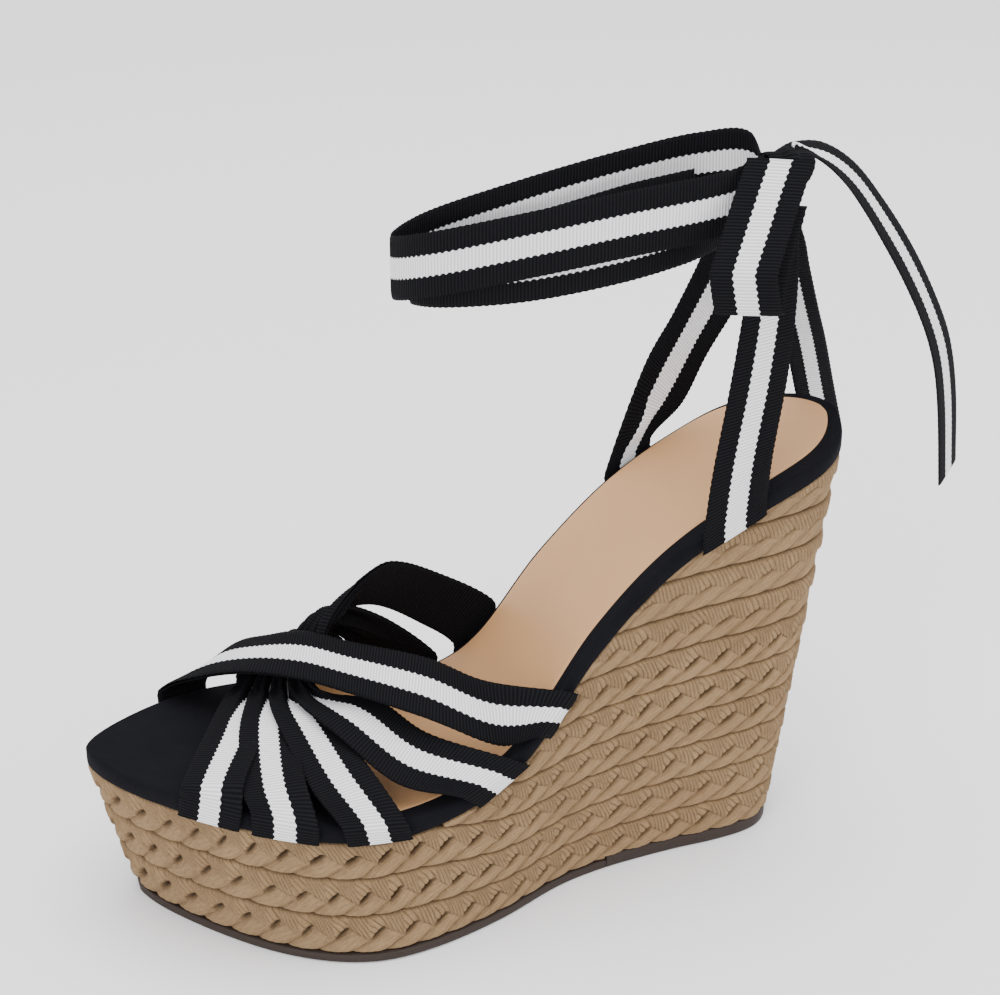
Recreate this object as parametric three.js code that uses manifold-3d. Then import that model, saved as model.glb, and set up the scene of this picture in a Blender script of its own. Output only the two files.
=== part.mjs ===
// Left-foot espadrille wedge sandal: braided jute wedge, covered footbed, crossed ribbon vamp and ankle tie.
// Millimetres, +Z up, +X from toe to heel, -Y the outer (lateral) side. The origin is on the outsole's
// flat underside, beneath the waist.
import * as THREE from "three";
import { mergeVertices } from "three/addons/utils/BufferGeometryUtils.js";
import Module from "manifold-3d";

// Sole and wedge
const soleLength = 212;
const toeX = -110;
const heelHeight = 127;
const platformHeight = 48.4;
const outsoleThickness = 2.5;
const liftThickness = 3.8;
const liftFront = 0.7; // share of the length where the heel lift starts
const braidDepth = 4;
const braidBulge = 0.5;
const wholeRows = 3; // braid rows that run right round the sole
const heelRows = 7; // braid rows that only wrap the heel
const topRowExtra = 3.3; // the top row is this much taller than the others
const toeTuck = 10.6; // how far the ground edge sits inside the toe
const heelTuck = 15.5;
const medialTuck = 4;
const gap = 0.3;
const seatGap = 0.8; // between the sloping rim and the braid rows that end under it

// Footbed
const rimHeight = 4.9;
const coverThickness = 1.2;
const boardThickness = 1.6;
const rimWidth = 5.6; // the black border left showing on the lateral side
const medialRim = 1.9;
const heelRim = 2.2;
const sockFront = 0.3; // share of the length where the leather sock starts

// Ribbons
const ribbonWidth = 17.5;
const ribbonThickness = 0.9;
const liningThickness = 0.6;
const liningGap = 0.4;
const pinchWidth = 4.4;
const standOff = 1.2; // between a strap end and the rim that it is lasted over

const colours = { jute: 0xbea07d, rubber: 0x5b4436, fabric: 0x17171a, tan: 0xc9a07c, board: 0xa08a6a };
const finish = (color, roughness) => new THREE.MeshStandardMaterial({ color, roughness, metalness: 0 });
const jute = finish(colours.jute, 0.95);
const rubber = finish(colours.rubber, 0.7);
const fabric = finish(colours.fabric, 0.9);
const leather = finish(colours.tan, 0.5);
const board = finish(colours.board, 0.9);

// A smooth curve through [place, value] points: cubic Hermite with finite-difference slopes.
function curve(points) {
  const slope = points.map((p, i) => {
    const a = points[Math.max(i - 1, 0)];
    const b = points[Math.min(i + 1, points.length - 1)];
    return (b[1] - a[1]) / (b[0] - a[0]);
  });
  return (place) => {
    const x = THREE.MathUtils.clamp(place, points[0][0], points.at(-1)[0]);
    const i = Math.max(1, points.findIndex((p) => p[0] >= x));
    const [x0, y0] = points[i - 1];
    const [x1, y1] = points[i];
    const h = x1 - x0;
    const t = (x - x0) / h;
    const t2 = t * t;
    const t3 = t2 * t;
    const bend = (t3 - 2 * t2 + t) * slope[i - 1] + (t3 - t2) * slope[i];
    return (2 * t3 - 3 * t2 + 1) * y0 + (3 * t2 - 2 * t3) * y1 + h * bend;
  };
}

// Places along the sole are shares of its length, 0 at the toe and 1 at the heel.
const rise = curve([
  [0, 0], [0.14, -0.01], [0.28, -0.065], [0.365, -0.087], [0.47, -0.027],
  [0.545, 0.105], [0.64, 0.412], [0.745, 0.67], [0.87, 0.858], [1, 1],
]);
const lateralWidth = curve([
  [0, 32], [0.17, 41.7], [0.345, 41.7], [0.504, 36.2], [0.629, 28.3], [0.743, 25], [0.895, 24.6], [1, 30],
]);
const medialWidth = curve([
  [0, 38.5], [0.17, 39.3], [0.345, 36.9], [0.504, 24.8],
  [0.629, 26.3], [0.743, 27.6], [0.895, 28.1], [1, 26.6],
]);
const lateralTuck = curve([[0.05, 3.7], [0.35, -3.6], [0.65, 2.6], [0.95, 6]]);
const toeRound = 0.34; // share of the length over which the toe rounds off
const heelRound = 0.148;
const tipOffset = 8.5; // the toe tip lies towards the medial side

const footbedTop = (f) => platformHeight + (heelHeight - platformHeight) * rise(f);
const soleX = (f) => toeX + soleLength * f;
const share = (x) => (x - toeX) / soleLength;

// How far the outline has opened: 0 at the tips, 1 along the sides, by a superellipse at each end.
function opening(f) {
  const a = Math.max(0, 1 - f / toeRound);
  const b = Math.max(0, 1 - (1 - f) / heelRound);
  return (1 - a ** 1.7) ** (1 / 1.7) * (1 - b ** 2.1) ** (1 / 2.1);
}
const tipY = (f) => tipOffset * Math.max(0, 1 - f / toeRound) ** 2;

// Y of the footbed's edge: side -1 lateral, +1 medial, drawn in by an inset that fades out at the tips.
function edgeY(f, side, inset = 0) {
  const lateral = tipY(f) - (lateralWidth(f) + tipY(f)) * opening(f);
  const medial = tipY(f) + (medialWidth(f) - tipY(f)) * opening(f);
  const middle = (lateral + medial) / 2;
  const half = (medial - lateral) / 2;
  return middle + side * (half - inset * (1 - Math.exp(-half / 6)));
}

const underRim = (f) => footbedTop(f) - rimHeight;

// The wall is ruled from the ground edge up to the underside of the rim.
function wall(f, side, z) {
  const t = z / underRim(f);
  const groundX = toeX + toeTuck + (soleLength - toeTuck - heelTuck) * f;
  const tuck = side < 0 ? lateralTuck(f) : -medialTuck;
  const edge = edgeY(f, side);
  return new THREE.Vector3(
    groundX + (soleX(f) - groundX) * t,
    edge + tuck * opening(f) * (1 - t),
    z,
  );
}

// One lap of the wall at a height: s 0 at the toe, 0.5 at the heel, lateral side first.
function lap(s, z, depth = 0) {
  const at = (q) => {
    const f = (1 - Math.cos(2 * Math.PI * q)) / 2;
    return wall(f, Math.sin(2 * Math.PI * q) > 0 ? -1 : 1, typeof z === "function" ? z(f) : z);
  };
  const along = at(s + 0.004).sub(at(s - 0.004)).setZ(0).normalize();
  return at(s).add(new THREE.Vector3(-along.y, along.x, 0).multiplyScalar(depth));
}

// Applies a map to every corner of a stock geometry and welds it into one closed surface.
function warp(geometry, map) {
  const g = geometry.index ? geometry.toNonIndexed() : geometry;
  g.deleteAttribute("normal");
  g.deleteAttribute("uv");
  const corners = g.getAttribute("position");
  for (let i = 0; i < corners.count; i++) {
    const p = map(corners.getX(i), corners.getY(i), corners.getZ(i));
    corners.setXYZ(i, p.x, p.y, p.z);
  }
  const welded = mergeVertices(g, 1e-3);
  welded.computeVertexNormals();
  return welded;
}

const sandal = new THREE.Group();
function addPiece(name, geometry, material) {
  const mesh = new THREE.Mesh(geometry, material);
  mesh.name = name;
  sandal.add(mesh);
  return mesh;
}

// A layer of the footbed: its whole outline, drawn in by an inset, between two heights off the footbed's top.
function layer(inset, top, bottom, from = 0, medial = inset, heel = inset) {
  const steps = 34;
  const endInset = heel / soleLength;
  return warp(new THREE.BoxGeometry(1, 1, 1, steps, 1, 1), (x, y, z) => {
    const ease = (1 - Math.cos(Math.PI * (x + 0.5))) / 2;
    const start = Math.max(from, 0.003 + endInset);
    const end = 0.998 - endInset;
    const f = start + (end - start) * ease;
    // The inset outline is the full one squeezed between the inset tips.
    const full = (f - endInset) / (1 - 2 * endInset);
    const side = y * 2;
    const drawnIn = side < 0 ? inset : medial;
    return new THREE.Vector3(soleX(f), edgeY(full, side, drawnIn), footbedTop(f) + (z > 0 ? top : bottom));
  });
}

const wasm = await Module();
wasm.setup();
function solid(geometry) {
  const position = geometry.getAttribute("position");
  return new wasm.Manifold(new wasm.Mesh({
    numProp: 3,
    vertProperties: new Float32Array(position.array),
    triVerts: new Uint32Array(geometry.index.array),
  }));
}
function geometryOf(body) {
  const mesh = body.getMesh();
  const g = new THREE.BufferGeometry();
  g.setAttribute("position", new THREE.BufferAttribute(mesh.vertProperties, 3));
  g.setIndex(new THREE.BufferAttribute(mesh.triVerts, 1));
  g.computeVertexNormals();
  return g;
}

// Footbed: wrapped cover with a recess for the sock, and the board and foam inside it.
const sockTop = 0;
const foamTop = -coverThickness - 2 * gap;
const boardTop = -rimHeight + gap + boardThickness;
const hollow = solid(layer(coverThickness, -coverThickness, -rimHeight - 2));
const recess = solid(layer(rimWidth, 1, -coverThickness - 1, sockFront, medialRim, heelRim));
const cover = solid(layer(0, 0, -rimHeight)).subtract(hollow).subtract(recess);
addPiece("footbed_cover", geometryOf(cover), fabric);
const sockFrom = sockFront + gap / soleLength;
const sock = layer(rimWidth + gap, sockTop, -coverThickness, sockFrom, medialRim + gap, heelRim + gap);
addPiece("sock_lining", sock, leather);
addPiece("foam_cushion", layer(coverThickness + gap, foamTop, boardTop + gap), board);
addPiece("insole_board", layer(coverThickness + gap, boardTop, -rimHeight + gap), board);

// Wedge core: fills the braid from the sole up to the board.
const coreInset = braidDepth + 2;
const coreBottom = outsoleThickness + gap;
const braidPitch = (underRim(1) - coreBottom - topRowExtra) / (wholeRows + heelRows);
const liftTop = liftThickness + gap;
addPiece(
  "wedge_core",
  warp(new THREE.BoxGeometry(1, 1, 1, 34, 1, 2), (x, y, z) => {
    const endInset = (2 * coreInset) / soleLength;
    const ease = (1 - Math.cos(Math.PI * (x + 0.5))) / 2;
    const f = 0.006 + 0.988 * ease;
    const level = z + 0.5;
    const low = liftTop;
    const high = underRim(endInset + f * (1 - 2 * endInset)) - gap;
    const height = low + (high - low) * level;
    const outer = wall(f, y < 0 ? -1 : 1, height);
    const inner = wall(f, y < 0 ? 1 : -1, height);
    const middle = (outer.y + inner.y) / 2;
    const half = Math.abs(outer.y - inner.y) / 2;
    const centreX = toeX + soleLength / 2;
    return new THREE.Vector3(
      centreX + (outer.x - centreX) * (1 - 2 * endInset),
      middle + Math.sign(y) * (half - coreInset * (1 - Math.exp(-half / 6))),
      height,
    );
  }),
  board,
);

// Outsole and heel lift: flat plates cut to the ground edge.
function plate(name, from, to, thickness) {
  const start = Math.max(from, 0.003);
  const end = Math.min(to, 0.998);
  addPiece(
    name,
    warp(new THREE.BoxGeometry(1, 1, 1, 24, 1, 1), (x, y, z) => {
      const f = start + (end - start) * (1 - Math.cos(Math.PI * (x + 0.5))) / 2;
      return wall(f, y * 2, 0).setZ(z > 0 ? thickness : 0);
    }),
    rubber,
  );
}
plate("outsole", 0, liftFront, outsoleThickness);
plate("heel_lift", liftFront + gap / soleLength, 1, liftThickness);

// Braid rows: each row's section has a rounded face and a flat back. They lie level under the forefoot,
// and behind the waist the upper ones climb a little towards the heel.
const dip = 0.365; // share of the length where the footbed is lowest
const waistEnd = 0.55;
const levelShare = 0.93; // where a climbing row is at its own height
const climb = 0.118 * heelHeight; // per unit share of the length
const firstFullClimb = 4; // the lowest row edge that climbs in full
// Thinner rows bend more sharply and need more room between them.
const setOutPitch = 11.6;
const rowGap = gap * Math.max(1, setOutPitch / braidPitch) ** 4;
const wholeStack = braidPitch * wholeRows;
const squeeze = Math.min(1, (underRim(dip) - coreBottom) / (wholeStack - 0.1 * braidPitch));
function rowHeight(k, f) {
  const bend = THREE.MathUtils.smoothstep(f, dip, waistEnd);
  // The whole rows stretch to fill the raised toe.
  const fill = Math.max(squeeze, (underRim(Math.min(f, dip)) - coreBottom) / wholeStack);
  const stretch = k <= wholeRows ? THREE.MathUtils.lerp(fill, 1, bend) : 1;
  const slope = climb * bend * Math.min(1, k / firstFullClimb) * Math.max(0, levelShare - f);
  return Math.min(coreBottom + braidPitch * k * stretch - slope, underRim(f) - seatGap);
}
function braidRow(k) {
  const last = k === wholeRows + heelRows - 1;
  const low = (f) => Math.max(rowHeight(k, f) + rowGap, f > liftFront - 0.004 ? liftTop : 0);
  const high = (f) => (last ? underRim(f) - seatGap : rowHeight(k + 1, f));
  const section = [[braidDepth, 0], [braidDepth, 1], [0.9, 1], [-braidBulge, 0.5], [0.9, 0]];
  const place = (s, depth, up) => {
    const p = lap(s, (f) => low(f) + (high(f) - low(f)) * up, depth);
    return p.setZ(Math.min(p.z, underRim(share(p.x)) - seatGap));
  };
  if (k < wholeRows) {
    const ring = [...section, section[0]].reverse().map(([depth, up]) => new THREE.Vector2(10 - depth, up));
    const lathe = new THREE.LatheGeometry(ring, 72);
    return warp(lathe, (x, y, z) => {
      const turn = Math.atan2(x, z) / (2 * Math.PI);
      return place((turn + 1) % 1, 10 - Math.hypot(x, z), y);
    });
  }
  // An upper row starts where the rim has risen clear of it.
  const leastHeight = 2.4;
  const startStep = 0.002;
  let start = dip;
  while (high(start) - low(start) < leastHeight) start += startStep;
  const s0 = Math.acos(1 - 2 * start) / (2 * Math.PI);
  const outline = new THREE.Shape(section.map(([depth, up]) => new THREE.Vector2(depth, up)));
  const bar = new THREE.ExtrudeGeometry(outline, { depth: 1, steps: 34, bevelEnabled: false });
  return warp(bar, (x, y, z) => place(s0 + (1 - 2 * s0) * z, x, y));
}
for (let k = 0; k < wholeRows + heelRows; k++) {
  addPiece(`braid_row_${String(k + 1).padStart(2, "0")}`, braidRow(k), jute);
}

// Ribbons. A section across a ribbon is its two edges, toe-side or front edge first.
const point = (x, y, z) => new THREE.Vector3(x, y, z);
function across(centre, direction, width = ribbonWidth) {
  const reach = direction.clone().normalize().multiplyScalar(width / 2);
  return [centre.clone().sub(reach), centre.clone().add(reach)];
}
// A section on the outside of the rim, from one share of the length to another.
function onRim(from, to, side, drop, off = standOff) {
  return [from, to].map((f) => {
    const ahead = point(soleX(f + 0.005), edgeY(f + 0.005, side), 0);
    const along = ahead.sub(point(soleX(f - 0.005), edgeY(f - 0.005, side), 0)).normalize();
    const out = point(-along.y, along.x, 0).multiplyScalar(side * off);
    return point(soleX(f), edgeY(f, side), footbedTop(f) - drop).add(out);
  });
}
// The stretch of rim that a ribbon covers, centred on one share of the length.
function rimSpan(centre, side) {
  const at = (f) => point(soleX(f), edgeY(f, side), footbedTop(f));
  const end = (step) => {
    let f = centre;
    while (at(f).distanceTo(at(centre)) < ribbonWidth / 2) f += step;
    return f;
  };
  return [end(-0.0005), end(0.0005)];
}
// A place over the footbed: share of the length, y and height above the footbed there.
// The heights are set out for one width of ribbon; a wider one stands higher.
const setOutWidth = 17.5;
const widthScale = ribbonWidth / setOutWidth;
const over = (f, y, h) => point(soleX(f), y, footbedTop(f) + h * widthScale);
// The cross strap rides over the fan ribbons, which stand higher where they are wider.
const spare = ribbonWidth - setOutWidth;
const overFans = (f, y, h) => over(f, y, h + 0.8 * spare);
// A place round the ankle: x from the heel's back, y and height above the heel's top.
const ankle = (x, y, h) => point(toeX + soleLength + x, y, heelHeight + h);

// A strip between two edge curves. Inner and outer are distances out of the strip's own surface.
function strip(sections, inner, outer, stepsEach = 4) {
  const left = new THREE.CatmullRomCurve3(sections.map((s) => s[0]), false, "centripetal");
  const right = new THREE.CatmullRomCurve3(sections.map((s) => s[1]), false, "centripetal");
  const steps = stepsEach * (sections.length - 1);
  const middle = (t) => left.getPoint(t).add(right.getPoint(t)).multiplyScalar(0.5);
  return warp(new THREE.BoxGeometry(1, 1, 1, 1, 1, steps), (x, y, z) => {
    const t = z + 0.5;
    const a = left.getPoint(t);
    const b = right.getPoint(t);
    const along = middle(Math.min(1, t + 0.01)).sub(middle(Math.max(0, t - 0.01)));
    const inward = along.cross(b.clone().sub(a)).normalize();
    const depth = y > 0 ? -inner : -outer;
    return a.lerp(b, x + 0.5).add(inward.multiplyScalar(depth));
  });
}
function linedRibbon(name, sections) {
  addPiece(name, strip(sections, 0, ribbonThickness), fabric);
  const innerSections = sections.slice(1, -1);
  addPiece(`${name}_lining`, strip(innerSections, -liningGap - liningThickness, -liningGap), fabric);
}

const underEdge = rimHeight - gap; // a strap end reaches down to the rim's lower edge

// Cross strap: from the lateral waist over the vamp to the medial toe.
linedRibbon("cross_strap", [
  onRim(0.559, 0.605, -1, underEdge),
  onRim(0.551, 0.602, -1, -1.2, 1.6),
  across(overFans(0.498, -27.3, 11), point(-0.4, 5.5, 17)),
  across(overFans(0.421, -18, 22), point(5, 7, 14.4)),
  across(overFans(0.336, -2, 24.5), point(4, 10, 12.5)),
  across(overFans(0.289, 8, 23), point(4, 10, 9)),
  across(overFans(0.238, 17.5, 18.5), point(6, 9, 7)),
  across(overFans(0.188, 26, 11.5), point(9, 8, 4)),
  onRim(0.115, 0.182, 1, -2, 1.2),
  onRim(0.113, 0.18, 1, underEdge),
]);

// Fan ribbons: four ribbons spread over the lateral side, gathered under the cross strap,
// and spread again over the medial side.
const gather = point(0.7, -0.7, 0.12);
const fans = [
  {
    lateral: 0.216 - 0.082 * widthScale, medial: 0.314 - 0.05 * widthScale,
    rise: [[0.138, -26, 5.5, 0.9, -0.4, 0.1, 14], [0.18, -8, 8, 0.85, -0.5, 0.1, 8.5]],
    pinch: [[0.219, 13, 9.5], [0.236, 18, 12.5], [0.254, 22.5, 18]],
    fall: [[0.261, 31, 12, 1, -0.2, 0, 10]],
  },
  {
    lateral: 0.216, medial: 0.358,
    rise: [[0.211, -30, 6.5, 1, 0, 0, 14], [0.223, -10, 9.5, 0.95, -0.2, 0, 8.5]],
    pinch: [[0.236, 8.5, 10.5], [0.252, 14.5, 14], [0.271, 19, 20]],
    fall: [[0.311, 29, 19.5, 0.8, -0.3, 0.4, 11]],
  },
  {
    lateral: 0.323, medial: 0.452,
    rise: [[0.295, -30, 8.5, 0.95, 0.2, 0.1, 15], [0.272, -11, 12, 0.95, 0, 0.1, 8.5]],
    pinch: [[0.262, 4.5, 12.5], [0.269, 11.5, 15.5], [0.287, 15.5, 22]],
    fall: [[0.33, 24, 28, 0.6, -0.3, 0.6, 8], [0.388, 27.5, 19.5, 0.6, -0.2, 0.7, 12.5]],
  },
  {
    lateral: 0.478, medial: 0.545,
    rise: [[0.391, -29, 11, 0.68, 0.6, 0.4, 15], [0.325, -14, 18, 0.8, 0.4, 0.3, 9]],
    pinch: [[0.288, 1, 15], [0.287, 8.2, 16.6], [0.305, 12.2, 23.4]],
    fall: [
      [0.33, 16.5, 31.5, 0.5, -0.5, 0.7, 8],
      [0.372, 18.5, 37, 0.3, -0.4, 0.85, 14],
      [0.415, 20.5, 36, 0.2, -0.3, 0.9, 17.5],
      [0.482, 24.5, 22, 0.35, -0.15, 0.85, 17.5],
    ],
  },
];
fans.forEach((fan, i) => {
  const free = ([f, y, h, ax, ay, az, width]) => across(over(f, y, h), point(ax, ay, az), width);
  linedRibbon(`fan_ribbon_${i + 1}`, [
    onRim(...rimSpan(fan.lateral, -1), -1, underEdge),
    onRim(...rimSpan(fan.lateral, -1), -1, -1.6, 1),
    ...fan.rise.map(free),
    ...fan.pinch.map(([f, y, h]) => across(over(f, y, h), gather, pinchWidth)),
    ...fan.fall.map(free),
    onRim(...rimSpan(fan.medial, 1), 1, -1.6, 1),
    onRim(...rimSpan(fan.medial, 1), 1, underEdge),
  ]);
});

// Ankle ribbons: each rises from the side of the heel to the back of the ankle and goes once round it.
const upright = point(0, 0, -1);
addPiece("lateral_ankle_ribbon", strip([
  onRim(0.777, 0.862, -1, underEdge),
  onRim(0.777, 0.862, -1, -1, 0.9),
  across(ankle(-37, -25.5, 0), point(1, 0, 0.25)),
  across(ankle(-32, -21, 20), point(1, 0.12, 0.1)),
  across(ankle(-27, -14, 38), point(1, 0.25, 0)),
  across(ankle(-23.5, -7, 54), point(1, 0.4, -0.2)),
  across(ankle(-21, 0.5, 65), point(0.7, 0.3, -0.6)),
  across(ankle(-24, 9, 70.5), point(0.2, 0.1, -1)),
  across(ankle(-35.5, 19.5, 67.5), upright),
  across(ankle(-54.5, 26.5, 62), upright),
  across(ankle(-80, 28, 56.5), upright),
  across(ankle(-109, 22, 52.5), upright),
  across(ankle(-123.5, 4, 54.5), upright),
  across(ankle(-118.5, -15, 62), upright),
  across(ankle(-96, -26, 69), upright),
  across(ankle(-73.5, -28.5, 72.5), upright),
  across(ankle(-45, -24.5, 73.5), upright),
  across(ankle(-33, -18.5, 74.5), upright),
], 0, ribbonThickness), fabric);
addPiece("medial_ankle_ribbon", strip([
  onRim(0.735, 0.8, 1, underEdge).reverse(),
  onRim(0.735, 0.8, 1, -1, 0.9).reverse(),
  across(ankle(-40, 27.5, -1), point(-0.6, 0, 0.62)),
  across(ankle(-34.5, 23, 15.5), point(-0.6, 0, 0.78)),
  across(ankle(-30, 18, 30), point(-0.62, 0.1, 0.77)),
  across(ankle(-27, 11.5, 44), point(-0.6, 0.3, 0.77)),
  across(ankle(-26, 2.5, 56), point(-0.4, 0.3, 0.9)),
  across(ankle(-31, -2.5, 62.5), point(-0.1, 0.1, 1)),
  across(ankle(-40, -10.5, 64.5), point(0, 0, 1)),
  across(ankle(-54, -19.5, 65), point(0, 0, 1)),
  across(ankle(-73.5, -24.5, 64), point(0, 0, 1)),
  across(ankle(-96, -22, 61), point(0, 0, 1)),
  across(ankle(-114.5, -12, 57.5), point(0, 0, 1)),
  across(ankle(-119, 3, 53), point(0, 0, 1)),
  across(ankle(-107, 18, 48), point(0, 0, 1)),
  across(ankle(-79, 24.5, 48), point(0, 0, 1)),
  across(ankle(-54, 22, 54), point(0, 0, 1)),
  across(ankle(-39, 13, 60), point(0, 0, 1)),
], 0, ribbonThickness), fabric);

// Bow: a knot, one loop and two tails, hanging at the back of the ankle on the lateral side.
const knotCentre = ankle(-25.5, -16.5, 80);
const knotSize = point(14, 9, 11);
addPiece(
  "bow_knot",
  warp(new THREE.SphereGeometry(1, 16, 12), (x, y, z) => {
    const square = (v) => Math.sign(v) * Math.abs(v) ** 0.75 / 2;
    return point(square(x) * knotSize.x, square(y) * knotSize.y, square(z) * knotSize.z).add(knotCentre);
  }),
  fabric,
);
// A wider ribbon's loop and short tail hang further out, clear of the ribbons they hang from.
function hungOut(x, y, sections) {
  return sections.map((edges) => edges.map((p) => p.add(point(x * spare, y * spare, 0))));
}
addPiece("bow_loop", strip(hungOut(0, -0.4, [
  across(ankle(-30.6, -24.8, 83.8), point(0.97, -0.12, -0.12)),
  across(ankle(-34.8, -29, 77.7), point(0.97, -0.12, -0.12)),
  across(ankle(-39.8, -34, 69.5), point(0.97, -0.15, -0.08)),
  across(ankle(-45.2, -39.5, 60.9), point(0.97, -0.15, -0.08)),
  across(ankle(-43.8, -40, 51), point(0.97, -0.15, -0.08)),
  across(ankle(-41.6, -36, 48.5), point(0.97, -0.15, -0.08)),
  across(ankle(-40.3, -33.5, 53.3), point(0.97, -0.15, -0.08)),
  across(ankle(-36.5, -30.5, 65.2), point(0.97, -0.15, -0.08)),
  across(ankle(-33.4, -27.5, 73), point(0.97, -0.15, -0.08)),
]), 0, ribbonThickness, 3), fabric);
addPiece("long_tail", strip([
  across(ankle(-15.2, -6, 78.1), point(-0.22, 0.97, 0.06), 13),
  across(ankle(-7.5, -5, 74.3), point(0.06, 0.96, 0.26)),
  across(ankle(0.3, -4, 67.3), point(0.29, 0.91, 0.3)),
  across(ankle(8.4, -4, 56.3), point(0.42, 0.87, 0.26)),
  across(ankle(17, -4.5, 42.5), point(0.49, 0.84, 0.25)),
  across(ankle(24.3, -5, 28.2), point(0.54, 0.81, 0.21)),
  across(ankle(29.1, -5.5, 15.2), point(0.62, 0.77, 0.14)),
  across(ankle(31.9, -6, -0.2), point(0.66, 0.74, 0.06)),
  across(ankle(33.9, -6.5, -22.5), point(0.66, 0.75, 0.04)),
], 0, ribbonThickness), fabric);
addPiece("short_tail", strip(hungOut(0.6, 0.2, [
  across(ankle(-15.5, 6, 56), point(0.88, 0.42, -0.2), 12),
  across(ankle(-14.3, 6, 48.5), point(0.88, 0.42, -0.2), 15.5),
  across(ankle(-12.1, 8, 39.3), point(0.88, 0.42, -0.2)),
  across(ankle(-6.6, 12.5, 24.3), point(0.88, 0.42, -0.2)),
  across(ankle(-1.2, 18, 11.6), point(0.88, 0.42, -0.2)),
  across(ankle(6.3, 26, -8.1), point(0.88, 0.42, -0.2)),
  across(ankle(11.6, 31, -22.4), point(0.88, 0.42, -0.2)),
]), 0, ribbonThickness), fabric);

export default sandal;
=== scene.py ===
import math
import bpy
import numpy as np
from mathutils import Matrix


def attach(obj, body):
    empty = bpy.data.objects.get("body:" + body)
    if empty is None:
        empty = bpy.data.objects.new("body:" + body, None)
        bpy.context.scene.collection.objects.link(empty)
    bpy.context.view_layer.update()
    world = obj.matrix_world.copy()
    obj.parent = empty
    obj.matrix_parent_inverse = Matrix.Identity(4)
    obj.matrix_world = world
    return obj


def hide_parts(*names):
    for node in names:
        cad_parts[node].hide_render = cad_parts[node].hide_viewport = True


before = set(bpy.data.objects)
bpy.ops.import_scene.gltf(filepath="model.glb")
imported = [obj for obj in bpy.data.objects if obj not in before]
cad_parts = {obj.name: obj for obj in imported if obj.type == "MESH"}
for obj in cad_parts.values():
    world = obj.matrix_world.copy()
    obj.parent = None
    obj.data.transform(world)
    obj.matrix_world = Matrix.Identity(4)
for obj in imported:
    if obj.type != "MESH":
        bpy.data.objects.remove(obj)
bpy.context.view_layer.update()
print("frame loaded:", len(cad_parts), "nodes")

mm = 0.001

# Sizes shared with the CAD frame, in millimetres: toe at -X, lateral side at -Y.
shoe = {
    "length": 212.0, "toeX": -110.0, "heelHeight": 127.0, "platform": 48.4,
    "rimHeight": 4.9, "rimWidth": 5.6, "medialRim": 1.9, "heelRim": 2.2,
    "soleThickness": 2.5, "liftThickness": 3.8, "liftFront": 0.7, "gap": 0.3,
    "braidPitch": 11.6, "wholeRows": 3, "heelRows": 7,
    "dip": 0.365, "waistEnd": 0.55, "levelShare": 0.93, "climb": 15.0, "firstFullClimb": 4,
    "toeTuck": 10.6, "heelTuck": 15.5, "medialTuck": 4.0,
    "toeRound": 0.34, "toePower": 1.7, "heelRound": 0.148, "heelPower": 2.1,
    "tipOffset": 8.5, "insetFade": 6.0, "sockFront": 0.3,
}


def smoothCurve(points):
    # cubic Hermite through [place, value] points, its slopes the finite differences between neighbours
    pts = np.array(points, float)
    x, y = pts[:, 0], pts[:, 1:]
    ahead = np.minimum(np.arange(len(x)) + 1, len(x) - 1)
    behind = np.maximum(np.arange(len(x)) - 1, 0)
    slope = (y[ahead] - y[behind]) / (x[ahead] - x[behind])[:, None]

    def at(q):
        q = np.clip(np.asarray(q, float), x[0], x[-1])
        i = np.clip(np.searchsorted(x, q), 1, len(x) - 1)
        h = x[i] - x[i - 1]
        t = ((q - x[i - 1]) / h)[..., None]
        value = (2 * t**3 - 3 * t**2 + 1) * y[i - 1] + (3 * t**2 - 2 * t**3) * y[i]
        value = value + h[..., None] * ((t**3 - 2 * t**2 + t) * slope[i - 1] + (t**3 - t**2) * slope[i])
        return value[..., 0] if value.shape[-1] == 1 else value
    return at


# Places along the sole are shares of its length, 0 at the toe and 1 at the heel.
rise = smoothCurve([
    [0, 0], [0.14, -0.01], [0.28, -0.065], [0.365, -0.087], [0.47, -0.027],
    [0.545, 0.105], [0.64, 0.412], [0.745, 0.67], [0.87, 0.858], [1, 1],
])
lateralWidth = smoothCurve([
    [0, 32], [0.17, 41.7], [0.345, 41.7], [0.504, 36.2], [0.629, 28.3], [0.743, 25], [0.895, 24.6], [1, 30],
])
medialWidth = smoothCurve([
    [0, 38.5], [0.17, 39.3], [0.345, 36.9], [0.504, 24.8],
    [0.629, 26.3], [0.743, 27.6], [0.895, 28.1], [1, 26.6],
])
lateralTuck = smoothCurve([[0.05, 3.7], [0.35, -3.6], [0.65, 2.6], [0.95, 6]])


def footbedTop(f):
    return shoe["platform"] + (shoe["heelHeight"] - shoe["platform"]) * rise(f)


def underRim(f):
    return footbedTop(f) - shoe["rimHeight"]


def soleX(f):
    return shoe["toeX"] + shoe["length"] * f


def opening(f):
    # superellipse at each tip: 0 at the tips, 1 along the sides
    toe = np.maximum(0, 1 - f / shoe["toeRound"])
    heel = np.maximum(0, 1 - (1 - f) / shoe["heelRound"])
    toePower, heelPower = shoe["toePower"], shoe["heelPower"]
    atToe = np.maximum(1 - toe**toePower, 0) ** (1 / toePower)
    return atToe * np.maximum(1 - heel**heelPower, 0) ** (1 / heelPower)


def edgeY(f, side, inset=0.0):
    # y of the footbed's edge, side -1 lateral to +1 medial, drawn in by an inset that fades at the tips
    tip = shoe["tipOffset"] * np.maximum(0, 1 - f / shoe["toeRound"]) ** 2
    lateral = tip - (lateralWidth(f) + tip) * opening(f)
    medial = tip + (medialWidth(f) - tip) * opening(f)
    half = (medial - lateral) / 2
    return (lateral + medial) / 2 + side * (half - inset * (1 - np.exp(-half / shoe["insetFade"])))


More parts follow.
